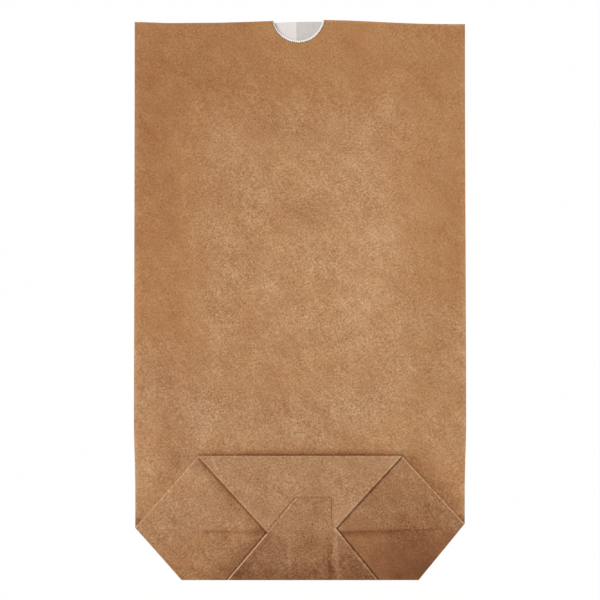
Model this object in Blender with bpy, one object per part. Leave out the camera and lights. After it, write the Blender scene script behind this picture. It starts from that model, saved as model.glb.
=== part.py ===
"""Flat kraft paper lunch bag with a cross-folded bottom, lying on its back wall.

Metres, +Z up. +Y points to the mouth, +X to the right of the front wall. The origin is the
centre of the bag's outline, on the surface that it lies on.

The bag is one sheet. It is rolled into a flat tube whose two ends lap and are glued at the
back. At the lower end the front wall turns back on itself along the bottom's centre line, the
corners are squashed into pockets, and an upper and a lower flap are glued over them. Each
region of the sheet lies between two height functions, and narrow folds join it to the next.
"""
import bmesh
import bpy
from mathutils import Vector

# Paper and flat tube
PAPER = 0.00012
FLAT_WIDTH = 0.165
LENGTH = 0.2803
SEAM_OUTER_EDGE = 0.016
SEAM_LAP = 0.0178
SEAM_EASE = 0.006
SEAM_MARGIN = 0.001

# Mouth: its cut edge dips to both sides of a crest and rises again at the left corner
MOUTH_CREST_X = 0.010
MOUTH_RIGHT_DIP = 0.0019
MOUTH_RIGHT_RUN = 0.058
MOUTH_LEFT_DIP = 0.00145
MOUTH_LEFT_RUN = 0.060
MOUTH_CORNER_RISE = 0.0006
MOUTH_CORNER_RUN = 0.020
MOUTH_WAVE_REACH = 0.020
BACK_EDGE_SETBACK = 0.0007
NOTCH_RADIUS = 0.0124
NOTCH_DEPTH = 0.01045
NOTCH_X = -0.001

# How the sides bulge below the middle, and how far the tips lie askew
SIDE_BULGE = 0.0007
BULGE_START_Y = 0.120
BULGE_RISE = 0.180
BULGE_END_Y = -0.095
BULGE_FALL = 0.035
TIP_SKEW = 0.00105

# Bottom: heights from the bottom edge, and reaches of the pockets from the side folds
TIP_HEIGHT = 0.0273
UPPER_FOLD_HEIGHT = 0.0623
UPPER_POCKET_REACH = 0.0317
LOWER_POCKET_REACH = 0.02315

# Flaps of the bottom
UPPER_FLAP_LENGTH = 0.0446
UPPER_FLAP_END_WIDTH = 0.0205
LOWER_FLAP_WIDTH = 0.0756
LOWER_FLAP_X = 0.00175
LOWER_FLAP_LENGTH = 0.0411
LOWER_FLAP_END_LEFT = -0.0015
SHORT_FLAP_LENGTH = 0.0285
SHORT_FLAP_END_MARGIN = 0.00025

# How far the layers stand apart
BELLY_GAP = 0.0032
MOUTH_GAP_SHARE = 0.62
MOUTH_RISE = 0.080
BOTTOM_RISE = 0.047
SHOULDER_WIDTH = 0.035
SEAM_CLEARANCE = 0.00034
OUTSIDE_SLIT = 0.0003
INSIDE_SLIT = 0.00015
BOTTOM_EDGE_SLIT = 0.00024
FLAP_SPRING = 0.00014
FLAP_STEP = 2 * PAPER + FLAP_SPRING

# Folds, and the small insets that keep the sides of joined regions apart
FOLD_WIDTH = 0.0006
FOLD_BEND = 0.0001
INNER_END_INSET = 0.00003
OUTER_END_INSET = 0.00006
FLAP_INSET = 0.00006
CENTRE_FOLD_INSET = 0.00009
UPPER_FOLD_INSET = 0.00012
LOWER_FOLD_INSET = 0.00015

# Depths in the sheet, as shares of its thickness, at which joined regions start and end
SEAM_SINK = 0.9
UPPER_FLAP_SINK = 0.5
LONG_FLAP_SINK = 0.4
SHORT_FLAP_SINK = 0.3
FOLD_START = 0.3
LOWER_FOLD_START = 0.4
UPPER_FOLD_END = 0.7
LOWER_FOLD_END = 0.6

# Facets
PLATEAU_COLUMNS = 3
SHOULDER_COLUMNS = 7
WALL_ROW = 0.013
BOTTOM_ROW = 0.006
NOTCH_SIDES = 72
WELD = 0.000005

# Places that follow from the sizes
HALF_WIDTH = FLAT_WIDTH / 2
TOP_Y = LENGTH / 2
BOTTOM_Y = -LENGTH / 2
TIP_Y = BOTTOM_Y + TIP_HEIGHT
CENTRE_FOLD_Y = TIP_Y + FOLD_BEND
UPPER_FOLD_Y = BOTTOM_Y + UPPER_FOLD_HEIGHT
SEAM_INNER_EDGE = SEAM_OUTER_EDGE - SEAM_LAP

LEFT_TIP = (-HALF_WIDTH, TIP_Y)
RIGHT_TIP = (HALF_WIDTH, TIP_Y)
UPPER_LEFT = (-HALF_WIDTH + UPPER_POCKET_REACH, UPPER_FOLD_Y)
UPPER_RIGHT = (HALF_WIDTH - UPPER_POCKET_REACH, UPPER_FOLD_Y)
LOWER_LEFT = (-HALF_WIDTH + LOWER_POCKET_REACH, BOTTOM_Y)
LOWER_RIGHT = (HALF_WIDTH - LOWER_POCKET_REACH, BOTTOM_Y)

BOTTOM_OUTLINE = [LEFT_TIP, LOWER_LEFT, LOWER_RIGHT, RIGHT_TIP, UPPER_RIGHT, UPPER_LEFT]
LOWER_SIDES = (0, 1, 2)
UPPER_SIDES = (3, 4, 5)


def ease(share):
    """A smooth run from 0 to 1, level at both ends."""
    share = min(max(share, 0.0), 1.0)
    return share * share * (3 - 2 * share)


def mouth_edge(x):
    """How far the mouth's cut edge lies below the bag's top at x."""
    right = MOUTH_RIGHT_DIP * ease((x - MOUTH_CREST_X) / MOUTH_RIGHT_RUN)
    left = MOUTH_LEFT_DIP * ease((MOUTH_CREST_X - x) / MOUTH_LEFT_RUN)
    corner = MOUTH_CORNER_RISE * ease((MOUTH_CORNER_RUN - HALF_WIDTH - x) / MOUTH_CORNER_RUN)
    return right + left - corner


def settled(x, y):
    """Where a place of the straight outline lies on the bag, which isn't quite straight."""
    bulge = SIDE_BULGE * ease((BULGE_START_Y - y) / BULGE_RISE)
    bulge *= ease((y - BULGE_END_Y) / BULGE_FALL)
    above = (UPPER_FOLD_Y - y) / (UPPER_FOLD_Y - TIP_Y)
    below = (y - BOTTOM_Y) / TIP_HEIGHT
    skew = TIP_SKEW * x / HALF_WIDTH * max(0.0, min(above, below))
    wave = mouth_edge(x) * ease((y - TOP_Y + MOUTH_WAVE_REACH) / MOUTH_WAVE_REACH)
    return x * (1 + bulge / HALF_WIDTH), y + skew - wave


def belly(y):
    """The share of the full gap between the walls at y."""
    if y > TOP_Y - MOUTH_RISE:
        fall = ease((y - TOP_Y + MOUTH_RISE) / MOUTH_RISE)
        return 1 - (1 - MOUTH_GAP_SHARE) * fall
    return ease((y - TIP_Y) / (UPPER_FOLD_Y + BOTTOM_RISE - TIP_Y))


def front_under(x, y):
    """Underside of the front wall, which is pressed onto the back wall at the side folds."""
    shoulder = ease((HALF_WIDTH - abs(x)) / SHOULDER_WIDTH)
    return PAPER / 2 + shoulder * (SEAM_CLEARANCE + BELLY_GAP * belly(y))


def turned_under(x, y):
    """Underside of the strip of front wall that is turned back on itself."""
    return front_under(x, y) + PAPER + OUTSIDE_SLIT


def pocket_under(x, y):
    """Underside of the corner pockets, which slope down to the bottom edge."""
    if y >= TIP_Y:
        return turned_under(x, y) + PAPER + INSIDE_SLIT
    at_centre = turned_under(x, TIP_Y) + PAPER + INSIDE_SLIT
    at_edge = PAPER + BOTTOM_EDGE_SLIT
    return at_edge + (at_centre - at_edge) * ease((y - BOTTOM_Y) / TIP_HEIGHT)


def inner_end_under(x, y):
    """Underside of the sheet's inner end: on the outer end in the lap, then down beside it."""
    return SEAM_SINK * PAPER * (1 - ease((x - SEAM_OUTER_EDGE - SEAM_MARGIN) / SEAM_EASE))


def raised(height, rise):
    """A height function that lies a constant rise above another."""
    return lambda x, y: height(x, y) + rise


def level(height):
    """A flat height function."""
    return lambda x, y: height


def lattice():
    """Columns and rows that cut every curved region, so that layers share their facets."""
    plateau = HALF_WIDTH - SHOULDER_WIDTH
    right = [plateau * step / PLATEAU_COLUMNS for step in range(1, PLATEAU_COLUMNS + 1)]
    for step in range(1, SHOULDER_COLUMNS):
        right.append(plateau + SHOULDER_WIDTH * step / SHOULDER_COLUMNS)
    columns = [-x for x in right] + [0.0] + right
    rows = []
    for low, high, row in (
            (BOTTOM_Y, TIP_Y, BOTTOM_ROW),
            (TIP_Y, UPPER_FOLD_Y, BOTTOM_ROW),
            (UPPER_FOLD_Y, TOP_Y, WALL_ROW)):
        count = max(1, round((high - low) / row))
        rows += [low + (high - low) * step / count for step in range(1, count + 1)]
    return columns, rows


def cut(bm, point, normal, clear):
    """Cut the region along a line. With clear, what lies on the normal's side falls away."""
    bmesh.ops.bisect_plane(
        bm, geom=bm.verts[:] + bm.edges[:] + bm.faces[:], dist=1e-7,
        plane_co=(point[0], point[1], 0), plane_no=(normal[0], normal[1], 0),
        clear_outer=clear)


def inward(start, end):
    """Unit normal that points into an outline whose corners run anticlockwise."""
    along = Vector(end) - Vector(start)
    return Vector((-along.y, along.x)).normalized()


def keep_folds(bm, sides):
    """Leave only the strip that lies within a fold's width of the given sides."""
    lines = []
    for start, end in sides:
        normal = inward(start, end)
        point = Vector(start) + normal * FOLD_WIDTH
        cut(bm, point, normal, False)
        lines.append((point, normal))
    beyond = []
    for face in bm.faces:
        centre = face.calc_center_median().xy
        if all((centre - point).dot(normal) > 0 for point, normal in lines):
            beyond.append(face)
    bmesh.ops.delete(bm, geom=beyond, context="FACES")


def region(name, corners, under, top, inset=0.0, fold_sides=()):
    """A closed region of sheet over a convex outline, between two height functions.

    inset shrinks the outline on every side. fold_sides keeps only a fold's width beside the
    sides of those numbers.
    """
    bm = bmesh.new()
    bmesh.ops.create_grid(bm, x_segments=1, y_segments=1, size=max(LENGTH, FLAT_WIDTH))
    sides = list(zip(corners, corners[1:] + corners[:1]))
    for start, end in sides:
        normal = inward(start, end)
        cut(bm, Vector(start) + normal * inset, -normal, True)
    columns, rows = lattice()
    for x in columns:
        cut(bm, (x, 0), (1, 0), False)
    for y in rows:
        cut(bm, (0, y), (0, 1), False)
    if fold_sides:
        keep_folds(bm, [sides[number] for number in fold_sides])
    bmesh.ops.remove_doubles(bm, verts=bm.verts[:], dist=WELD)
    lower = bm.verts[:]
    extruded = bmesh.ops.extrude_face_region(bm, geom=bm.faces[:], use_keep_orig=True)
    for vert in lower:
        vert.co.z = under(vert.co.x, vert.co.y)
    for item in extruded["geom"]:
        if isinstance(item, bmesh.types.BMVert):
            item.co.z = top(item.co.x, item.co.y)
    for vert in bm.verts:
        vert.co.x, vert.co.y = settled(vert.co.x, vert.co.y)
    bmesh.ops.recalc_face_normals(bm, faces=bm.faces[:])
    bmesh.ops.triangulate(bm, faces=bm.faces[:])
    mesh = bpy.data.meshes.new(name)
    bm.to_mesh(mesh)
    bm.free()
    return bpy.data.objects.new(name, mesh)


def file_as_tool(tool, collection):
    """File an object that only shapes the bag, drawn as wires and not rendered."""
    collection.objects.link(tool)
    tool.hide_render = True
    tool.display_type = "WIRE"


def thumb_notch(cutters):
    """Cutter for the half-round thumb notch in the front wall's edge."""
    centre_y = TOP_Y - NOTCH_DEPTH + NOTCH_RADIUS
    bpy.ops.mesh.primitive_cylinder_add(
        vertices=NOTCH_SIDES, radius=NOTCH_RADIUS, depth=NOTCH_RADIUS,
        location=(NOTCH_X, centre_y, 0))
    cutter = bpy.context.object
    cutter.name = "notch_cutter"
    for collection in list(cutter.users_collection):
        collection.objects.unlink(cutter)
    file_as_tool(cutter, cutters)
    return cutter


def back_wall(regions):
    """The sheet's outer and inner end, which lap along the seam and form the back wall."""
    back_top = TOP_Y - BACK_EDGE_SETBACK
    outer_end = [
        (-HALF_WIDTH, back_top), LEFT_TIP, LOWER_LEFT,
        (SEAM_OUTER_EDGE, BOTTOM_Y), (SEAM_OUTER_EDGE, back_top)]
    inner_end = [
        (SEAM_INNER_EDGE, back_top), (SEAM_INNER_EDGE, BOTTOM_Y),
        LOWER_RIGHT, RIGHT_TIP, (HALF_WIDTH, back_top)]
    file_as_tool(region(
        "inner_end", inner_end, inner_end_under, raised(inner_end_under, PAPER),
        inset=INNER_END_INSET), regions)
    return region(
        "paper_bag", outer_end, level(0), level(PAPER), inset=OUTER_END_INSET)


def front_wall(regions, cutters):
    """The front wall with its thumb notch, and the strip of it that is turned back up."""
    front = [
        (-HALF_WIDTH, TOP_Y), (-HALF_WIDTH, CENTRE_FOLD_Y),
        (HALF_WIDTH, CENTRE_FOLD_Y), (HALF_WIDTH, TOP_Y)]
    turned = [
        (-HALF_WIDTH, CENTRE_FOLD_Y), (HALF_WIDTH, CENTRE_FOLD_Y), UPPER_RIGHT, UPPER_LEFT]
    wall = region("front_wall", front, front_under, raised(front_under, PAPER))
    notch = wall.modifiers.new("thumb_notch", "BOOLEAN")
    notch.operation = "DIFFERENCE"
    notch.object = thumb_notch(cutters)
    file_as_tool(wall, regions)
    file_as_tool(region(
        "turned_strip", turned, turned_under, raised(turned_under, PAPER)), regions)
    file_as_tool(region(
        "centre_fold", front, raised(front_under, FOLD_START * PAPER),
        raised(turned_under, UPPER_FOLD_END * PAPER),
        inset=CENTRE_FOLD_INSET, fold_sides=(1,)), regions)


def pockets(regions):
    """The squashed corner pockets and the folds round their rim."""
    file_as_tool(region(
        "pockets", BOTTOM_OUTLINE, pocket_under, raised(pocket_under, PAPER)), regions)
    file_as_tool(region(
        "upper_folds", BOTTOM_OUTLINE, raised(turned_under, FOLD_START * PAPER),
        raised(pocket_under, UPPER_FOLD_END * PAPER),
        inset=UPPER_FOLD_INSET, fold_sides=UPPER_SIDES), regions)
    file_as_tool(region(
        "lower_folds", BOTTOM_OUTLINE, level(LOWER_FOLD_START * PAPER),
        raised(pocket_under, LOWER_FOLD_END * PAPER),
        inset=LOWER_FOLD_INSET, fold_sides=LOWER_SIDES), regions)


def flaps(regions):
    """The upper flap, and over it the lower flap, whose end steps where the seam's lap ends."""
    upper_end = UPPER_FOLD_Y - UPPER_FLAP_LENGTH
    upper = [
        UPPER_LEFT, (-UPPER_FLAP_END_WIDTH / 2, upper_end),
        (UPPER_FLAP_END_WIDTH / 2, upper_end), UPPER_RIGHT]
    long_end = BOTTOM_Y + LOWER_FLAP_LENGTH
    long_part = [
        (LOWER_FLAP_X - LOWER_FLAP_WIDTH / 2, BOTTOM_Y), (SEAM_OUTER_EDGE, BOTTOM_Y),
        (SEAM_OUTER_EDGE, long_end), (LOWER_FLAP_END_LEFT, long_end)]
    short_end = BOTTOM_Y + SHORT_FLAP_LENGTH
    short_part = [
        (SEAM_INNER_EDGE, BOTTOM_Y), (LOWER_FLAP_X + LOWER_FLAP_WIDTH / 2, BOTTOM_Y),
        (SEAM_OUTER_EDGE + SHORT_FLAP_END_MARGIN, short_end), (SEAM_INNER_EDGE, short_end)]
    for name, corners, sink, rise in (
            ("upper_flap", upper, UPPER_FLAP_SINK, PAPER + FLAP_STEP),
            ("lower_flap_long", long_part, LONG_FLAP_SINK, PAPER + 2 * FLAP_STEP),
            ("lower_flap_short", short_part, SHORT_FLAP_SINK, 2 * FLAP_STEP)):
        file_as_tool(region(
            name, corners, raised(pocket_under, sink * PAPER), raised(pocket_under, rise),
            inset=FLAP_INSET), regions)


def kraft_paper():
    """Warm brown uncoated kraft paper."""
    material = bpy.data.materials.new("kraft_paper")
    material.use_nodes = True
    shader = material.node_tree.nodes["Principled BSDF"]
    shader.inputs["Base Color"].default_value = (0.41, 0.19, 0.08, 1)
    shader.inputs["Roughness"].default_value = 0.8
    shader.inputs["Metallic"].default_value = 0
    return material


def build():
    """Fold the bag: join every region of the sheet into one solid in its own collection."""
    for leftover in list(bpy.data.objects):
        bpy.data.objects.remove(leftover, do_unlink=True)
    collections = []
    for name in ("paper_lunch_bag", "sheet_regions", "cutters"):
        collection = bpy.data.collections.new(name)
        bpy.context.scene.collection.children.link(collection)
        collections.append(collection)
    parts, regions, cutters = collections
    bag = back_wall(regions)
    front_wall(regions, cutters)
    pockets(regions)
    flaps(regions)
    parts.objects.link(bag)
    one_sheet = bag.modifiers.new("one_sheet", "BOOLEAN")
    one_sheet.operation = "UNION"
    one_sheet.operand_type = "COLLECTION"
    one_sheet.collection = regions
    bag.data.materials.append(kraft_paper())


build()
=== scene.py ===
import math

import bpy
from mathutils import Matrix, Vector
from mathutils.noise import noise as ripple


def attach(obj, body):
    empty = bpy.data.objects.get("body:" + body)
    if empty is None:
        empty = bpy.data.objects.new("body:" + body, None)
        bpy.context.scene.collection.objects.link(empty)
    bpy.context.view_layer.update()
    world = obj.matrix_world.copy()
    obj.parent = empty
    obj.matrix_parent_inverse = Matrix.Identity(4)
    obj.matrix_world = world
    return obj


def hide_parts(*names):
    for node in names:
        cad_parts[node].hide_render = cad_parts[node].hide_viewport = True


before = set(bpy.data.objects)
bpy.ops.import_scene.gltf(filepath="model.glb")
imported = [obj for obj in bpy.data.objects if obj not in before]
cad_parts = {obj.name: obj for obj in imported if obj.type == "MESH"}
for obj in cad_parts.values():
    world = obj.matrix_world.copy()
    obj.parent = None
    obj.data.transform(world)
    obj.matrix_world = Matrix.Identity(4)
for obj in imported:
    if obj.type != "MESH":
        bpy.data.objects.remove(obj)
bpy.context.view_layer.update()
bpy.context.scene.view_settings.view_transform = "Standard"


# Back wall. The outer end of the sheet runs from the left side fold to its free edge right of
# the middle, brown below and white above. Its rim turns up into the side fold, the folds of
# the lower corners and the bottom fold.
paper = 0.00012
half_width = 0.0825
top_y = 0.14015
bottom_y = -0.14015
tip_y = bottom_y + 0.0273
upper_fold_y = bottom_y + 0.0623
left_tip = Vector((-half_width, tip_y))
right_tip = Vector((half_width, tip_y))
lower_left = Vector((-0.05935, bottom_y))
lower_right = Vector((0.05935, bottom_y))
seam_outer_edge = 0.016
back_top = top_y - 0.0007
fold_radius = 0.0002
fold_cuts = (0.15, 0.5, 1.0)
smooth_angle = math.radians(40)
back_facet = 0.006


class Wire:
    """An output of a shader node. Arithmetic on it adds Math nodes."""

    def __init__(self, tree, socket=None):
        self.tree = tree
        self.socket = socket

    def node(self, kind, settings, inputs, output=0):
        """Add a node of a kind, with its settings first, and give one of its outputs."""
        made = self.tree.nodes.new(kind)
        for name, value in settings.items():
            if name == "stops":
                ramp = made.color_ramp.elements
                while len(ramp) < len(value):
                    ramp.new(1)
                for stop, (position, colour) in zip(ramp, value):
                    stop.position = position
                    stop.color = (*colour, 1)
            else:
                setattr(made, name, value)
        for name, value in inputs.items():
            if isinstance(value, Wire):
                self.tree.links.new(value.socket, made.inputs[name])
            else:
                made.inputs[name].default_value = value
        return Wire(self.tree, made.outputs[output])

    def maths(self, operation, *values):
        return self.node("ShaderNodeMath", {"operation": operation}, dict(enumerate(values)))

    def __add__(self, other):
        return self.maths("ADD", self, other)

    def __radd__(self, other):
        return self.maths("ADD", other, self)

    def __sub__(self, other):
        return self.maths("SUBTRACT", self, other)

    def __rsub__(self, other):
        return self.maths("SUBTRACT", other, self)

    def __mul__(self, other):
        return self.maths("MULTIPLY", self, other)

    def __rmul__(self, other):
        return self.maths("MULTIPLY", other, self)

    def __truediv__(self, other):
        return self.maths("DIVIDE", self, other)

    def __rpow__(self, other):
        return self.maths("POWER", other, self)


def noise(place, size, detail=2.0, roughness=0.5):
    """Even noise around zero, with features of about a size."""
    return place.node(
        "ShaderNodeTexNoise", {},
        {"Vector": place, "Scale": 1 / size, "Detail": detail, "Roughness": roughness}) - 0.5


def stretched(place, turn, along, across):
    """Coordinates in which round features come out long and thin, as fibres are."""
    return place.node(
        "ShaderNodeMapping", {"vector_type": "TEXTURE"},
        {"Vector": place, "Rotation": (0, 0, turn), "Scale": (along, across, across)})


def in_millimetres(place):
    """The two level coordinates of a place."""
    across = place.node("ShaderNodeSeparateXYZ", {}, {"Vector": place})
    along = Wire(place.tree, across.socket.node.outputs["Y"])
    return across * 1000, along * 1000


def mixed(share, first, second):
    """Two colours mixed by the share of the second."""
    return share.node(
        "ShaderNodeMix", {"data_type": "RGBA"}, {0: share, 6: first, 7: second}, 2)


def patch(x, y, centre, half, fade):
    """A patch with straight sides, 1 inside, that fades out across them."""
    share = 1.0
    for wire, middle, reach in ((x, centre[0], half[0]), (y, centre[1], half[1])):
        side = wire.node(
            "ShaderNodeMapRange", {"interpolation_type": "SMOOTHSTEP"},
            {"Value": wire.maths("ABSOLUTE", wire - middle),
             "From Min": reach + fade, "From Max": reach - fade})
        share = side * share
    return share


def cloud(x, y, centre, reach):
    """A soft patch, 1 at its centre, that fades out over its reach across and along."""
    across = (x - centre[0]) / reach[0]
    along = (y - centre[1]) / reach[1]
    return math.e ** (0 - (across * across + along * along))


def streak(x, y, start, end, reach):
    """A soft band along a line from start to end, 1 on the line."""
    run_x = end[0] - start[0]
    run_y = end[1] - start[1]
    from_x = x - start[0]
    from_y = y - start[1]
    share = (from_x * run_x + from_y * run_y) / (run_x * run_x + run_y * run_y)
    share = share.node("ShaderNodeClamp", {}, {"Value": share})
    off_x = from_x - share * run_x
    off_y = from_y - share * run_y
    return math.e ** (0 - (off_x * off_x + off_y * off_y) / (reach * reach))


def new_paper(name):
    """An empty paper material, its shader and its wire of object coordinates."""
    material = bpy.data.materials.new(name)
    material.use_nodes = True
    tree = material.node_tree
    shader = tree.nodes["Principled BSDF"]
    shader.inputs["Specular IOR Level"].default_value = 0.25
    place = Wire(tree).node("ShaderNodeTexCoord", {}, {}, "Object")
    return material, shader, place


def kraft(name, tone, warmth, patches=(), clouds=(), streaks=(), coarseness=1.0):
    """Brown uncoated kraft paper: clouded tone, fine grain, loose fibres and dark specks.

    tone is its brightness and warmth its share of orange. In millimetres, patches are
    (centre, half size, fade, (lighter, duller, coarser)), clouds (centre, reach, lighter) and
    streaks (start, end, reach, lighter). Patches and clouds add tone that differs at random
    and painted light and shade; streaks add painted highlights on folds, partly rubbed
    lighter, and painted shadows beside edges and creases.
    """
    material, shader, place = new_paper(name)
    x, y = in_millimetres(place)
    soft_x = x + noise(place, 0.012, 3) * 14
    soft_y = y + noise(place, 0.015, 3) * 14
    level = noise(place, 0.020, 4, 0.6) * 0.085 + tone
    warm = noise(place, 0.011, 3) * 0.8 + warmth
    coarse = noise(place, 0.018, 3) * 1.2 + coarseness
    for centre, half, fade, (lighter, duller, coarser) in patches:
        share = patch(soft_x, soft_y, centre, half, fade)
        level = level + share * lighter
        warm = warm - share * duller
        coarse = share * coarser + coarse
    for centre, reach, lighter in clouds:
        level = level + cloud(soft_x, soft_y, centre, reach) * lighter
    for start, end, reach, lighter in streaks:
        level = level + streak(x, y, start, end, reach) * lighter
    grain = noise(place, 0.0009, 1, 0.7) * 0.34
    fibres = noise(stretched(place, 0.5, 0.0040, 0.0006), 1, 2) * 0.10
    fibres = fibres + noise(stretched(place, -1.0, 0.0040, 0.0006), 1, 2) * 0.10
    mottle = noise(stretched(place, -0.9, 0.010, 0.005), 1, 3, 0.6) * 0.14
    dot = noise(stretched(place, -0.8, 0.0024, 0.0012), 1, 1)
    speck = dot.maths("GREATER_THAN", dot, 0.26)
    level = level + (grain + fibres + mottle) * coarse - speck * 0.15
    orange = level.node("ShaderNodeValToRGB", {"stops": (
        (0.231, (0.107, 0.034, 0.011)),
        (0.364, (0.246, 0.088, 0.030)),
        (0.487, (0.386, 0.172, 0.065)),
        (0.533, (0.451, 0.213, 0.083)),
        (0.593, (0.533, 0.275, 0.116)),
        (0.698, (0.672, 0.407, 0.212)))}, {"Fac": level})
    dull = level.node("ShaderNodeValToRGB", {"stops": (
        (0.235, (0.092, 0.034, 0.010)),
        (0.369, (0.224, 0.090, 0.034)),
        (0.465, (0.328, 0.158, 0.071)),
        (0.542, (0.424, 0.2245, 0.110)),
        (0.594, (0.504, 0.277, 0.140)),
        (0.695, (0.630, 0.407, 0.245)))}, {"Fac": level})
    blotches = noise(place, 0.020, 4) * 1.6 + 0.5
    tint = mixed(blotches, (1.0, 0.95, 0.92, 1), (0.985, 1.045, 1.09, 1))
    brown = tint.node(
        "ShaderNodeMix", {"data_type": "RGBA", "blend_type": "MULTIPLY"},
        {0: 1.0, 6: mixed(warm, dull, orange), 7: tint}, 2)
    bump = place.node(
        "ShaderNodeBump", {}, {"Height": grain + fibres, "Strength": 0.5, "Distance": 0.00010})
    place.tree.links.new(brown.socket, shader.inputs["Base Color"])
    place.tree.links.new(bump.socket, shader.inputs["Normal"])
    shader.inputs["Roughness"].default_value = 0.78
    return material


def white_lining(name, painted_shade=0.0):
    """The sheet's bleached inner face. Its last argument greys it with painted shade, for a part
    that lies in less light.
    """
    material, shader, place = new_paper(name)
    level = 0.64 + noise(place, 0.004, 3) * 0.2 + noise(place, 0.0009, 2) * 0.2 - painted_shade
    white = level.node("ShaderNodeValToRGB", {"stops": (
        (0.0, (0.46, 0.42, 0.39)),
        (0.5, (0.74, 0.70, 0.67)),
        (1.0, (0.90, 0.86, 0.83)))}, {"Fac": level})
    place.tree.links.new(white.socket, shader.inputs["Base Color"])
    shader.inputs["Roughness"].default_value = 0.7
    return material


def inward(start, end):
    """Unit normal that points into an outline whose corners run anticlockwise."""
    along = end - start
    return Vector((-along.y, along.x)).normalized()


def cut(point, normal, trim=False):
    """Cut the sheet that is being edited along a line, and with trim drop what lies outside."""
    bpy.ops.mesh.select_all(action="SELECT")
    bpy.ops.mesh.bisect(
        plane_co=(point.x, point.y, 0), plane_no=(-normal.x, -normal.y, 0),
        clear_outer=trim, threshold=0.000001)


def sheet(name, corners, facet, folds=(), creases=()):
    """A level sheet trimmed to a convex outline, cut finer beside folded sides and creases."""
    low = Vector((min(c[0] for c in corners), min(c[1] for c in corners)))
    high = Vector((max(c[0] for c in corners), max(c[1] for c in corners)))
    size = high - low
    bpy.ops.object.select_all(action="DESELECT")
    bpy.ops.mesh.primitive_grid_add(
        x_subdivisions=round(size.x / facet[0]), y_subdivisions=round(size.y / facet[1]),
        size=1, location=(*((low + high) / 2), 0))
    made = bpy.context.object
    made.name = name
    made.scale = (size.x, size.y, 1)
    bpy.ops.object.transform_apply(location=True, rotation=False, scale=True)
    bpy.ops.object.mode_set(mode="EDIT")
    sides = list(zip(corners, corners[1:] + corners[:1]))
    for start, end in sides:
        cut(Vector(start), inward(Vector(start), Vector(end)), trim=True)
    for number, reach in folds:
        start, end = (Vector(corner) for corner in sides[number])
        for share in fold_cuts:
            cut(start + inward(start, end) * reach * share, inward(start, end))
    for start, end, steps in creases:
        for step in steps:
            cut(start + inward(start, end) * step, inward(start, end))
    bpy.ops.mesh.select_all(action="SELECT")
    bpy.ops.mesh.remove_doubles(threshold=0.00001)
    bpy.ops.object.mode_set(mode="OBJECT")
    return made


def roll(distance, reach, drop):
    """How far a sheet rolls over at a distance from its fold, along a quarter of an ellipse."""
    share = 1 - min(max(distance, 0.0) / reach, 1.0)
    return drop * (1 - math.sqrt(1 - share ** 2))


def distance_to(x, y, start, end):
    """How far a place lies inside the side of an outline."""
    return (Vector((x, y)) - start).dot(inward(start, end))


def ease(share):
    """A smooth run from 0 to 1, level at both ends."""
    share = min(max(share, 0.0), 1.0)
    return share * share * (3 - 2 * share)


def mouth_edge(x):
    """How far the mouth's cut edge lies below the bag's top."""
    highest = 0.010
    right_drop, right_reach = 0.0019, 0.058
    left_drop, left_reach = 0.00145, 0.060
    corner_lift, corner_reach = 0.0006, 0.020
    right = right_drop * ease((x - highest) / right_reach)
    left = left_drop * ease((highest - x) / left_reach)
    return right + left - corner_lift * ease((corner_reach - half_width - x) / corner_reach)


def settled(x, y):
    """Where a place of the straight outline lies on the bag, which isn't quite straight."""
    middle_bulge, middle_top, middle_end = 0.0007, 0.120, -0.095
    upper_bulge, upper_start = 0.00030 if x < 0 else 0.00012, -0.020
    tip_skew = 0.00105
    mouth_reach = 0.020
    bulge = middle_bulge * ease((middle_top - y) / 0.180) * ease((y - middle_end) / 0.035)
    bulge += upper_bulge * ease((y - upper_start) / 0.120)
    above = (upper_fold_y - y) / (upper_fold_y - tip_y)
    below = (y - bottom_y) / (tip_y - bottom_y)
    skew = tip_skew * x / half_width * max(0.0, min(above, below))
    wave = mouth_edge(x) * ease((y - top_y + mouth_reach) / mouth_reach)
    return x * (1 + bulge / half_width), y + skew - wave


def shape(piece, height):
    """Lift each point of a level sheet to its height, and settle it in its place."""
    for vertex in piece.data.vertices:
        x, y = vertex.co.x, vertex.co.y
        vertex.co = (*settled(x, y), height(x, y))


def give_thickness(piece, outside_up, materials, thickness=paper):
    """Thicken the sheet away from its outside face and give both faces their material."""
    for material in materials:
        piece.data.materials.append(material)
    if not outside_up:
        bpy.ops.object.mode_set(mode="EDIT")
        bpy.ops.mesh.select_all(action="SELECT")
        bpy.ops.mesh.flip_normals()
        bpy.ops.object.mode_set(mode="OBJECT")
    solid = piece.modifiers.new("thickness", "SOLIDIFY")
    solid.thickness = thickness
    solid.offset = -1
    solid.material_offset = len(materials) - 1
    solid.material_offset_rim = len(materials) - 1
    bpy.ops.object.modifier_apply(modifier="thickness")


def onto_bag(piece):
    """Smooth the piece except at its cut edges, and hand it to the bag's one sheet."""
    bpy.ops.object.shade_smooth_by_angle(angle=smooth_angle)
    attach(piece, "root")
    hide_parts("paper_bag")


def back_rim(x, y):
    """Height of the back wall's underside, which turns up round the rim of the tube."""
    nearest = min(
        x + half_width, half_width - x, y - bottom_y,
        distance_to(x, y, left_tip, lower_left), distance_to(x, y, lower_right, right_tip))
    return roll(nearest, fold_radius, fold_radius)


outside_brown = kraft("kraft_back", 0.525, 0.8)
lining = white_lining("white_lining")
back_outer_end = sheet(
    "back_wall_outer_end",
    [(-half_width, back_top), tuple(left_tip), tuple(lower_left),
     (seam_outer_edge, bottom_y), (seam_outer_edge, back_top)],
    (back_facet, back_facet), [(0, fold_radius), (1, fold_radius), (2, fold_radius)])
shape(back_outer_end, back_rim)
give_thickness(back_outer_end, False, [outside_brown, lining])
onto_bag(back_outer_end)


# Inner end of the sheet. It lies on the outer end along the lengthwise seam, where the two are
# glued, steps down beside the outer end's free edge, and runs on to the right side fold. Its
# own free edge shows through the thumb notch.
seam_inner_edge = -0.0018
seam_step_start = 0.017
seam_step = 0.006
seam_lift = 0.00013


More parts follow.
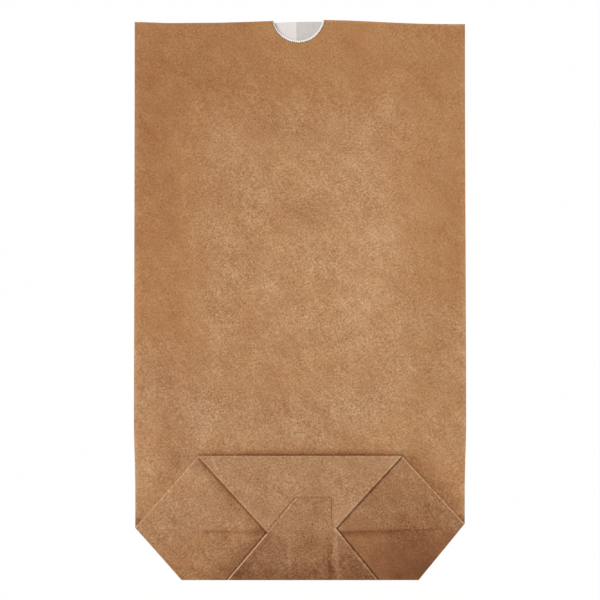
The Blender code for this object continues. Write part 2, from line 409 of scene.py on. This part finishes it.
def inner_end_height(x, y):
    """Height of the inner end's underside."""
    lift = seam_lift * (1 - ease((x - seam_step_start) / seam_step))
    return max(lift, back_rim(x, y))


back_inner_end = sheet(
    "back_wall_inner_end",
    [(seam_inner_edge, back_top), (seam_inner_edge, bottom_y),
     tuple(lower_right), tuple(right_tip), (half_width, back_top)],
    (seam_step / 3, back_facet), [(1, fold_radius), (2, fold_radius), (3, fold_radius)])
shape(back_inner_end, inner_end_height)
# The inner end's white lining is greyed with painted shade.
give_thickness(
    back_inner_end, False, [outside_brown, white_lining("white_lining_shaded", 0.36)])
onto_bag(back_inner_end)


# Front wall. It runs from the mouth, with its slightly wavy cut edge and half-round thumb
# notch, down to the centre line of the bottom, and stands a little off the back wall, to
# which the side folds join it. The notch is punched, and its torn rim bares the white inside.
side_thickness = 2 * fold_radius
shoulder = 0.035
belly_gap = 0.0032
bottom_gap = 0.00020
bottom_rise = 0.082
mouth_share = 0.62
mouth_rise = 0.080
turn_radius = 0.00015
wave_height = 0.00010
wave_length = 0.018
dip_depth = 0.00035
dip_reach = 0.0024
dip_end = 0.056
dip_fade = 0.008
notch_radius = 0.0124
notch_depth = 0.01045
notch = Vector((-0.001, top_y - notch_depth + notch_radius))
torn_radius = 0.01312
torn_teeth = 78
front_facet = 0.0016


def belly(y):
    """The share of the full gap between the walls."""
    if y > top_y - mouth_rise:
        return 1 - (1 - mouth_share) * ease((y - top_y + mouth_rise) / mouth_rise)
    return ease((y - tip_y) / bottom_rise)


def wall_height(x, y):
    """Height of the front wall's outside, away from its folds."""
    rise = ease((half_width - abs(x)) / shoulder)
    return side_thickness + rise * (bottom_gap + belly_gap * belly(y))


def front_height(x, y):
    """Height of the front wall, with its folds, slight waves and dip before the upper fold."""
    side = half_width - abs(x)
    drop = roll(side, fold_radius, fold_radius)
    turn_up = roll(y - tip_y, turn_radius, turn_radius)
    waves = wave_height * ripple(Vector((x, y, 0)) / wave_length) * ease(side / shoulder)
    dip = dip_depth * math.exp(-((y - upper_fold_y) / dip_reach) ** 2)
    dip *= ease((dip_end - abs(x)) / dip_fade)
    return wall_height(x, y) - drop + turn_up + waves - dip


def torn_rim(material):
    """Bare the sheet's white inside in a ragged band round the thumb notch, in millimetres."""
    tree = material.node_tree
    colour = tree.nodes["Principled BSDF"].inputs["Base Color"]
    brown = Wire(tree, colour.links[0].from_socket)
    place = brown.node("ShaderNodeTexCoord", {}, {}, "Object")
    x, y = in_millimetres(place)
    across = x - notch.x * 1000 - 0.1
    along = y - notch.y * 1000
    distance = across.maths("SQRT", across * across + along * along)
    angle = across.maths("ARCTAN2", along, across)
    teeth = across.maths("SINE", angle * torn_teeth) * 0.24 + noise(place, 0.0010) * 0.5
    beyond = distance - torn_radius * 1000 - teeth
    past_line = beyond - 0.25
    # Painted shadow: a dark brown line just outside the white band, darkest in the gaps between
    # the teeth.
    shade = math.e ** (0 - past_line * past_line / 0.10) * (0.55 - teeth * 1.6)
    # The white band turns grey towards the notch's upper left.
    grey_upper_left = cloud(across, along, (-notch_radius * 1000, -3), (5, 5))
    white = mixed(grey_upper_left, (0.93, 0.87, 0.82, 1), (0.60, 0.54, 0.49, 1))
    bared = beyond.maths("LESS_THAN", beyond, 0.0)
    rim = mixed(bared, mixed(shade, brown, (0.10, 0.06, 0.04, 1)), white)
    tree.links.new(rim.socket, colour)


front_wall = sheet(
    "front_wall",
    [(-half_width, top_y), (-half_width, tip_y), (half_width, tip_y), (half_width, top_y)],
    (front_facet, front_facet), [(0, fold_radius), (1, turn_radius), (2, fold_radius)],
    [(Vector((-half_width, upper_fold_y)), Vector((half_width, upper_fold_y)),
      (0.0, 0.0007, 0.0014, 0.0022, 0.0032))])
shape(front_wall, front_height)
# Front wall colour: patches and clouds make it lighter in the middle and darker towards the top
# left and the sides, partly tone that differs at random and partly painted light and shade. The
# streaks paint shadow in a band above the upper fold, along the crease past its ends, outside the
# pockets' slanting sides and above the tips, and paint highlights along the side folds and the
# mouth's edge.
kraft_front = kraft(
    "kraft_front", 0.522, 1.0,
    patches=[
        ((1, 12), (52, 87), 11, (0.034, 0.5, 0.35)),
        ((-73, -72), (22, 52), 13, (0.024, 0.62, 0.3)),
        ((74, -62), (19, 62), 13, (0.026, 0.45, 0.3)),
        ((-10, -68), (50, 20), 8, (0.0, 0.25, 0.15))],
    clouds=[
        ((-50, 120), (46, 27), -0.035), ((-67, 65), (14, 70), -0.028),
        ((-76, 88), (10, 40), -0.022), ((69, 55), (14, 60), 0.014), ((10, 22), (40, 30), 0.012),
        ((35, 28), (14, 9), 0.032), ((38, 5), (20, 60), 0.014), ((-38, 5), (18, 60), -0.009),
        ((36, 5), (16, 14), 0.015), ((-16, 0), (9, 9), 0.030), ((55, 43), (7, 8), 0.030),
        ((10, 58), (10, 10), 0.015), ((28, 70), (20, 8), 0.012), ((0, 44), (12, 6), -0.035),
        ((-35, 58), (14, 10), -0.015), ((10, -17), (8, 6), -0.020), ((-8, 88), (22, 10), -0.022),
        ((49, -62), (14, 7), 0.025), ((72, -42), (14, 20), 0.014), ((-76, -88), (8, 28), 0.032),
        ((-79, 104), (6, 14), 0.014), ((-65, -42), (10, 36), -0.025), ((58, 44), (9, 42), 0.020),
        ((-57, 15), (10, 10), 0.022), ((-50, -25), (14, 11), 0.018),
        ((-33, -64), (15, 10), 0.014), ((-46, -72), (10, 4), 0.028)],
    streaks=[
        ((-50, -77.5), (51, -77.5), 2.2, -0.052), ((-25, -77.5), (38, -77.5), 2.4, -0.045),
        ((-50, -77.35), (51, -77.35), 0.5, -0.105),
        ((-82.3, 132), (-82.3, 22), 1.6, 0.014), ((-83, 20), (-83, -105), 2.3, 0.040),
        ((82.6, 130), (82.8, 22), 1.4, 0.028), ((83.2, 20), (83.2, -107), 1.7, 0.052),
        ((-82, 139), (-52, 138.5), 0.5, 0.030), ((-50, 138.5), (-14, 139.5), 0.5, 0.030),
        ((13, 140), (66, 138.2), 0.8, 0.045), ((67.5, 138), (82, 138), 0.8, 0.050),
        ((-62.6, -78), (-50.6, -78), 0.5, -0.04), ((51, -78.3), (60, -79.3), 0.5, -0.04),
        ((-61, -81), (-80, -106), 5, -0.036), ((56, -81.5), (77, -103), 5, -0.075),
        ((51.3, -77.4), (82.5, -111.0), 0.5, -0.055),
        ((-82, -111.5), (-80.5, -110), 1.2, -0.12), ((82, -109.5), (80.5, -108), 1.2, -0.12)],
    coarseness=0.65)
torn_rim(kraft_front)
give_thickness(front_wall, True, [kraft_front, lining])
bpy.ops.object.select_all(action="DESELECT")
bpy.ops.mesh.primitive_cylinder_add(
    vertices=96, radius=notch_radius, depth=0.006, location=(*notch, 0.004))
notch_cutter = bpy.context.object
notch_cutter.data.materials.append(lining)
bpy.ops.object.select_all(action="DESELECT")
bpy.context.view_layer.objects.active = front_wall
front_wall.select_set(True)
thumb_notch = front_wall.modifiers.new("thumb_notch", "BOOLEAN")
thumb_notch.operation = "DIFFERENCE"
thumb_notch.object = notch_cutter
bpy.ops.object.modifier_apply(modifier="thumb_notch")
bpy.data.objects.remove(notch_cutter)
onto_bag(front_wall)


# Turned strip. At the bottom's centre line the front wall turns back on itself and runs up to
# the upper fold, between the wall and the corner pockets. Only its rim shows.
slit = 0.0003
edge_gap = 0.00008
strip_facet = 0.004
upper_left = Vector((-0.0508, upper_fold_y))
upper_right = Vector((0.0508, upper_fold_y))


def pocket_level(x, y):
    """Height of the pockets' outside, away from their folds."""
    if y >= tip_y:
        return wall_height(x, y) + slit + side_thickness
    centre = wall_height(x, tip_y) + slit + side_thickness
    edge = side_thickness + edge_gap
    return edge + (centre - edge) * ease((y - bottom_y) / (tip_y - bottom_y))


def strip_height(x, y):
    """Height of the strip's brown side, which faces the front wall."""
    rim = min(
        distance_to(x, y, right_tip, upper_right), distance_to(x, y, upper_left, left_tip),
        upper_fold_y - y)
    rise = roll(rim, fold_radius, fold_radius)
    turn_down = roll(y - tip_y, turn_radius, turn_radius)
    return pocket_level(x, y) - side_thickness + rise - turn_down


turned_strip = sheet(
    "turned_strip",
    [tuple(left_tip), tuple(right_tip), tuple(upper_right), tuple(upper_left)],
    (strip_facet, strip_facet),
    [(0, turn_radius), (1, fold_radius), (2, fold_radius), (3, fold_radius)])
shape(turned_strip, strip_height)
give_thickness(turned_strip, False, [outside_brown, lining])
onto_bag(turned_strip)


# Corner pockets. The tube's lower corners are opened and squashed flat, which leaves a
# six-sided face with rounded folds all round. The old side folds stay as centre creases, and
# the pockets puff up a little away from the flaps' slanting sides.
pocket_sides = [left_tip, lower_left, lower_right, right_tip, upper_right, upper_left]
crease_left = (Vector((-0.0651, -0.1150)), Vector((-0.0165, -0.1148)))
crease_right = (Vector((0.0185, -0.1154)), Vector((0.0766, -0.1142)))
crease_below = 0.0016
crease_above = 0.008
faint_start = 0.040
puff_height = 0.00022
puff_reach = 0.006
pocket_facet = 0.0010
upper_flap_end = upper_fold_y - 0.0446
upper_flap_corners = [
    Vector((-0.0509, upper_fold_y)), Vector((-0.01035, upper_flap_end)),
    Vector((0.01050, upper_flap_end)), Vector((0.05105, upper_fold_y))]
long_end = bottom_y + 0.0411
long_edge = seam_outer_edge - 0.0003
short_end = bottom_y + 0.0285
long_corners = [
    Vector((-0.0365, bottom_y)), Vector((long_edge, bottom_y)),
    Vector((long_edge, long_end)), Vector((-0.0020, long_end))]
short_corners = [
    Vector((seam_inner_edge, bottom_y)), Vector((0.03925, bottom_y)),
    Vector((0.01595, short_end)), Vector((seam_inner_edge, short_end))]


def pocket_relief(x, y):
    """How far the pockets stand up along their centre creases and away from the flaps."""
    if x < 0:
        crease, crease_height, faint_length = crease_left, 0.00016, 0.026
        flap_sides = (upper_flap_corners[0:2], (long_corners[3], long_corners[0]))
    else:
        crease, crease_height, faint_length = crease_right, 0.00036, 0.038
        flap_sides = (upper_flap_corners[2:4], short_corners[1:3])
    outside = -max(distance_to(x, y, *side) for side in flap_sides)
    puff = puff_height * ease(outside / puff_reach)
    below = -distance_to(x, y, *crease)
    fall = math.exp(-below / crease_below if below > 0 else below / crease_above)
    fade = 1 - ease((abs(x) - faint_start) / faint_length)
    return puff + crease_height * fall * fade * ease(outside / 0.001 + 0.5)


def pocket_height(x, y):
    """Height of the pockets' outside with their rim rolled down."""
    rim = min(
        distance_to(x, y, start, end)
        for start, end in zip(pocket_sides, pocket_sides[1:] + pocket_sides[:1]))
    drop = roll(rim, fold_radius, fold_radius)
    return pocket_level(x, y) - drop + pocket_relief(x, y) * ease(rim / 0.004)


corner_pockets = sheet(
    "corner_pockets", [tuple(corner) for corner in pocket_sides], (pocket_facet, pocket_facet),
    [(number, fold_radius) for number in range(6)],
    [(*crease_right, (0.0, -0.0006, -0.0014))])
shape(corner_pockets, pocket_height)
# Pocket colour with painted light and shade: the right pocket and both lower halves darker as if
# turned from the lamp, clouds lighter and darker in places, painted highlights along the upper
# slanting folds, and painted shadows beside the flaps' edges and below the centre creases.
kraft_pockets = kraft(
    "kraft_pockets", 0.526, 0.15,
    patches=[
        ((61, -110), (42, 45), 4, (-0.063, 0, 0)),
        ((61, -135), (45, 19), 2, (-0.022, -0.4, -0.4)),
        ((-61, -135), (45, 19.5), 2, (-0.016, -0.2, 0))],
    clouds=[
        ((-55, -89), (9, 9), 0.035), ((-44, -123), (7, 6), -0.035), ((-28, -119), (7, 6), 0.048),
        ((-46, -89), (5, 8), 0.035), ((60, -130), (21, 16), -0.104), ((54, -89), (11, 8), 0.045),
        ((52, -138), (18, 6), -0.040), ((-46, -137), (8, 5), -0.028), ((31, -123), (7, 5), 0.030)],
    streaks=[
        ((-50.6, -78.2), (-82.2, -113.8), 0.35, 0.100), ((50.75, -78), (82.25, -112), 0.45, 0.16),
        ((-50.5, -79.6), (-17.1, -116.4), 0.5, -0.11), ((-50.4, -79.6), (-17, -116.3), 5, -0.065),
        ((50.4, -79.3), (18.6, -114.3), 0.4, -0.20),
        ((-36.8, -139.9), (-16.6, -115.7), 0.45, -0.09), ((-39, -143), (-22, -122), 7.5, -0.10),
        ((39.6, -140.2), (18.3, -114.1), 0.4, -0.23),
        ((18.6, -117.0), (46, -116.2), 1.3, -0.055), ((18.6, -116.2), (46, -115.4), 0.35, -0.065),
        ((46, -115.4), (70, -114.6), 0.5, -0.055), ((46, -116.5), (60, -116.0), 1.4, -0.008),
        ((-47, -115.9), (-17.5, -115.9), 1.2, -0.070), ((-65, -116), (-47, -115.9), 1, -0.025)])
give_thickness(corner_pockets, True, [kraft_pockets, lining])
onto_bag(corner_pockets)


# Upper flap. The front wall's end is folded down from the upper fold over the pockets, with
# its corners folded under it, so both slanting sides are folds. It is glued down.
flap_step = 0.00038
flap_fold = 0.00024
end_fold = 0.0004
flap_facet = 0.0007
spring_height = 0.00010
spring_reach = 0.0016
wrinkle_height = 0.00012
wrinkle_reach = 0.0009
wrinkle_start = (-0.0438, -0.0790)
wrinkle_end = (-0.0414, -0.0850)


def crest(x, y, start, end, reach):
    """1 on a line between two places, falling off to both sides."""
    place = Vector((x, y)) - Vector(start)
    along = Vector(end) - Vector(start)
    share = min(max(place.dot(along) / along.length_squared, 0.0), 1.0)
    return math.exp(-((place - along * share).length / reach) ** 2)


def spring(side):
    """How far the doubled paper springs up beside its fold."""
    return spring_height * (1 - min(side / spring_reach, 1.0)) ** 2


def upper_flap_height(x, y):
    """Height of the upper flap, rolled over the upper fold and under at both sides."""
    level = pocket_level(x, y) + flap_step
    side = min(
        distance_to(x, y, *upper_flap_corners[0:2]), distance_to(x, y, *upper_flap_corners[2:4]))
    over_fold = roll(upper_fold_y - y, end_fold, flap_step + fold_radius)
    wrinkle = wrinkle_height * crest(x, y, wrinkle_start, wrinkle_end, wrinkle_reach)
    level += spring(side) + wrinkle
    return level - max(roll(side, flap_fold, flap_fold), over_fold)


upper_flap = sheet(
    "upper_flap", [tuple(corner) for corner in upper_flap_corners], (flap_facet, flap_facet),
    [(0, flap_fold), (2, flap_fold), (3, end_fold)])
shape(upper_flap, upper_flap_height)
# Upper flap colour with painted highlights along both slanting folds, the upper fold and the small
# wrinkle near the left corner, and painted shadows along the lower flap's edges where it lies on
# this flap; two clouds darken it a little.
kraft_upper_flap = kraft(
    "kraft_upper_flap", 0.540, 0.0,
    clouds=[((-20, -107), (9, 8), -0.030), ((10, -93), (8, 9), -0.022)],
    streaks=[
        ((-50.2, -78.4), (-16.4, -115.6), 0.3, 0.075), ((49.9, -78.6), (18.0, -113.7), 0.35, 0.09),
        ((-49, -78.3), (49, -78.3), 0.4, 0.020), ((-43.8, -79.0), (-41.4, -85), 0.6, 0.070),
        ((-2.2, -98.75), (15.7, -98.75), 0.5, -0.055), ((15.8, -99), (15.8, -111), 0.5, -0.030),
        ((-16.4, -115.4), (-2.6, -98.8), 0.4, -0.110)])
give_thickness(upper_flap, True, [kraft_upper_flap], 2 * paper)
onto_bag(upper_flap)


# Lower flap. The back wall's end is folded up over the upper flap and glued down. On the left
# it is the sheet's longer outer end, cut square, whose free edge stands up in a ridge towards
# the bottom edge. Right of that edge the shorter inner end lies one layer lower.
ridge_height = 0.00034
ridge_reach = 0.0021
ridge_offset = 0.0006
ridge_top = -0.109
drift = 0.0022
drift_top = -0.108
drift_start = 0.002
wrinkles_height = 0.00009
wrinkles_top = -0.112
glued_dip = 0.00014
glued_fade = 0.004


def edge_drift(y):
    """How far the outer end's free edge drifts to the right below the short end."""
    return drift * ease((drift_top - y) / 0.022)


def lower_flap_relief(x, y):
    """The ridge over the outer end's free edge, and soft wrinkles towards the bottom edge."""
    off_ridge = x - seam_outer_edge - ridge_offset - edge_drift(y)
    ridge = ridge_height * math.exp(-(off_ridge / ridge_reach) ** 2)
    ridge *= ease((ridge_top - y) / 0.008)
    wrinkles = wrinkles_height * ripple(Vector((x / 0.005, y / 0.020, 0)))
    return ridge + wrinkles * ease((wrinkles_top - y) / 0.012)


def lower_flap_height(x, y, rise, fold_start, fold_end):
    """Height of a part of the lower flap, rolled at its slanting side and the bottom edge."""
    level = pocket_level(x, y) + rise
    inside = distance_to(x, y, fold_start, fold_end)
    side = roll(inside, flap_fold, flap_fold)
    bottom = roll(y - bottom_y, end_fold, level - fold_radius)
    relief = lower_flap_relief(x, y) * ease((y - bottom_y) / 0.002) * ease(inside / 0.003)
    glued = glued_dip * (1 - ease((long_end - y) / glued_fade))
    glued *= ease((y - short_end) / glued_fade)
    return level - max(side, bottom) + relief + spring(inside) - glued


# The streaks paint highlights along each part's slanting fold, its top and right edges, the
# ridge's flank and the soft wrinkles, and paint shade beside the left fold, along the dark wrinkle
# and in the valley beside the ridge.
for name, corners, side, rise, thickness, streaks in (
        ("lower_flap_short", short_corners, 1, 2 * flap_step - paper, 2 * paper, [
            ((38.6, -140.2), (17.2, -114), 0.40, 0.120),
            ((17.4, -122), (19.0, -140), 1.4, 0.060)]),
        ("lower_flap_long", long_corners, 3, 2 * flap_step, paper, [
            ((-36.4, -140.2), (-17.3, -117.5), 0.42, 0.47),
            ((-34, -141), (-15, -118), 2.5, -0.030),
            ((-17.3, -117.5), (-1.9, -99.3), 0.35, 0.12),
            ((14.2, -99.5), (14.2, -110.5), 0.6, 0.010), ((-1, -99.4), (15, -99.4), 0.4, 0.015),
            ((15.8, -121.6), (15.9, -126.6), 0.35, -0.070),
            ((14.2, -118), (15.2, -140), 1.3, -0.050),
            ((17.4, -124), (18.6, -140), 1.3, 0.050)])):
    fold_start, fold_end = corners[side], corners[(side + 1) % 4]
    flap = sheet(
        name, [tuple(corner) for corner in corners], (flap_facet, flap_facet),
        [(0, end_fold), (side, flap_fold)])
    shape(flap, lambda x, y: lower_flap_height(x, y, rise, fold_start, fold_end))
    if name == "lower_flap_long":
        for vertex in flap.data.vertices:
            share = ease((vertex.co.x - drift_start) / (long_edge - drift_start))
            vertex.co.x += edge_drift(vertex.co.y) * share
    # Painted shade: patches and clouds darken the flap towards the bottom edge, where it turns
    # down; the added streaks are painted highlights on the ridge and the vertical wrinkles.
    kraft_flap = kraft(
        "kraft_" + name, 0.511, 0.0,
        patches=[
            ((0, -150), (60, 32), 7, (-0.054, 0, 0.1)), ((0, -150), (60, 17), 5, (-0.061, 0, 0))],
        clouds=[
            ((-28, -137), (11, 8), -0.035), ((31, -135), (11, 12), -0.060),
            ((-16, -108), (9, 8), -0.035), ((9, -104), (8, 9), -0.025),
            ((4, -137), (9, 5), -0.022), ((-10, -126), (7, 5), -0.035)],
        streaks=streaks + [
            ((17.7, -113), (18.4, -122), 0.7, 0.060),
            ((-5.5, -124), (-5.2, -135), 1, 0.040), ((11, -135), (11, -140), 1, 0.035)])
    give_thickness(flap, True, [kraft_flap], thickness)
    onto_bag(flap)


# Studio. A white floor under the bag, a soft lamp from the upper left, an even pale sky and
# a camera straight above with a long lens.
bpy.ops.object.select_all(action="DESELECT")
bpy.ops.mesh.primitive_plane_add(size=6, location=(0, 0, -0.0001))
floor = bpy.context.object
floor.name = "floor"
floor_white = bpy.data.materials.new("floor_white")
floor_white.use_nodes = True
floor_tree = floor_white.node_tree
floor_shader = floor_tree.nodes["Principled BSDF"]
floor_shader.inputs["Base Color"].default_value = (0.94, 0.94, 0.94, 1)
floor_shader.inputs["Roughness"].default_value = 0.9
seen = Wire(floor_tree).node("ShaderNodeLightPath", {}, {}, "Is Camera Ray")
glow = seen.node("ShaderNodeEmission", {}, {"Color": (1, 1, 1, 1), "Strength": 1.0})
lit = Wire(floor_tree, floor_shader.outputs["BSDF"])
both = seen.node("ShaderNodeMixShader", {}, {0: seen * 0.95, 1: lit, 2: glow})
floor_tree.links.new(both.socket, floor_tree.nodes["Material Output"].inputs["Surface"])
floor.data.materials.append(floor_white)

sky = bpy.data.worlds.new("pale_sky")
bpy.context.scene.world = sky
sky.use_nodes = True
sky_tree = sky.node_tree
sky_light = sky_tree.nodes["Background"]
sky_light.inputs["Color"].default_value = (1, 1, 1, 1)
sky_light.inputs["Strength"].default_value = 0.42
sky_seen = Wire(sky_tree).node("ShaderNodeLightPath", {}, {}, "Is Camera Ray")
white = sky_seen.node("ShaderNodeBackground", {}, {"Color": (1, 1, 1, 1), "Strength": 1.0})
sky_both = sky_seen.node(
    "ShaderNodeMixShader", {},
    {0: sky_seen, 1: Wire(sky_tree, sky_light.outputs["Background"]), 2: white})
sky_tree.links.new(sky_both.socket, sky_tree.nodes["World Output"].inputs["Surface"])

lamp_data = bpy.data.lights.new("soft_lamp", "SUN")
lamp_data.energy = 2.25
lamp_data.angle = math.radians(30)
lamp = bpy.data.objects.new("soft_lamp", lamp_data)
bpy.context.scene.collection.objects.link(lamp)
lamp.rotation_mode = "QUATERNION"
lamp.rotation_quaternion = Vector((-0.55, 0.50, 1.0)).to_track_quat("Z", "Y")

camera_data = bpy.data.cameras.new("camera")
camera_data.lens = 200
camera = bpy.data.objects.new("camera", camera_data)
bpy.context.scene.collection.objects.link(camera)
view_size = 0.3005
camera.location = (0, 0.0001, view_size * camera_data.lens / camera_data.sensor_width)
bpy.context.scene.camera = camera
